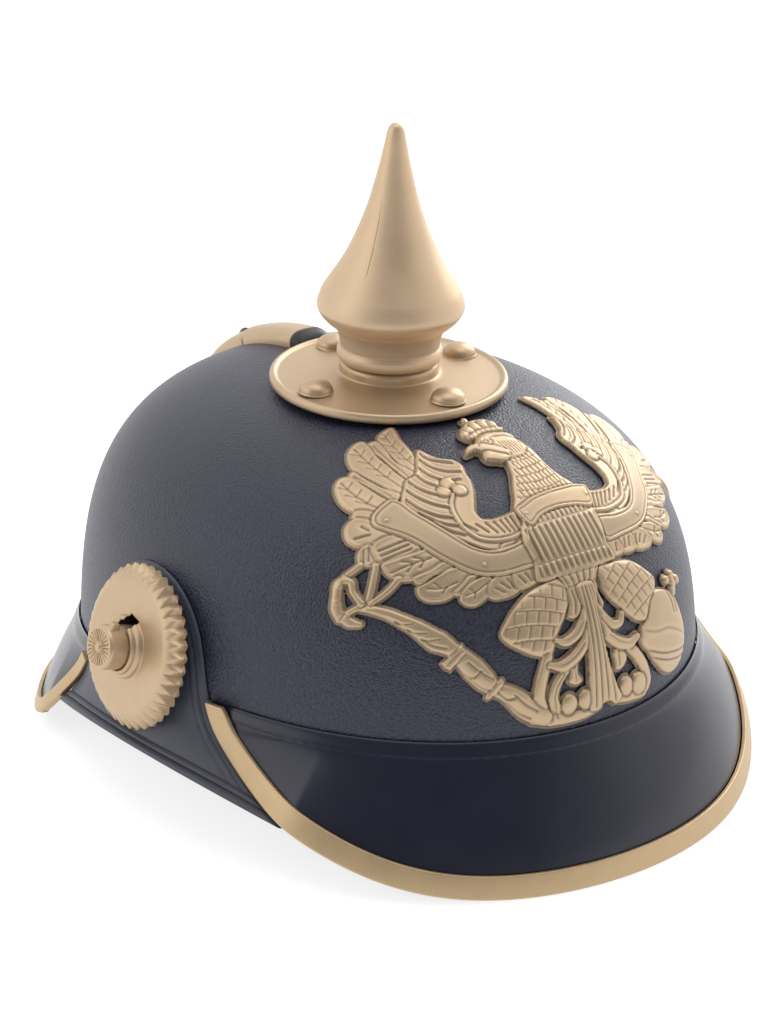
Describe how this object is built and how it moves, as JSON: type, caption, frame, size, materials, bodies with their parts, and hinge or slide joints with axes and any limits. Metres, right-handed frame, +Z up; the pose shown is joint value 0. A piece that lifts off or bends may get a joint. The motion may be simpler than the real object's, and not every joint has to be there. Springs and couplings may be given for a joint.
{
  "type": "police helmet",
  "caption": "Spiked parade helmet with a grained oval crown, flared glossy peaks edged in gold, fluted side rosettes with strap knobs, a rear spine and a heraldic eagle on the front.",
  "frame": {"origin": "middle of the bounding box, on the floor under both rims", "axes": "+Z up, -Y towards the front of the helmet (the eagle), +X towards the wearer's left"},
  "size_m": [0.2272, 0.2562, 0.2022],
  "materials": {
    "gold": "satin gold paint",
    "grained": "leather grain, semi-matte navy black",
    "glossy": "smooth, glossy navy black"
  },
  "bodies": {
    "root": {"crown": "grained", "front_peak": "glossy", "front_peak_trim": "gold", "rear_peak": "glossy", "rear_peak_trim": "gold", "side_flap_right": "glossy", "rosette_right": "gold", "knob_right": "gold", "side_flap_left": "glossy", "rosette_left": "gold", "knob_left": "gold", "base_plate": "gold", "base_stud_front": "gold", "base_stud_left": "gold", "base_stud_back": "gold", "base_stud_right": "gold", "spike": "gold", "rear_spine": "gold", "eagle_plate": "gold"}
  },
  "joints": []
}
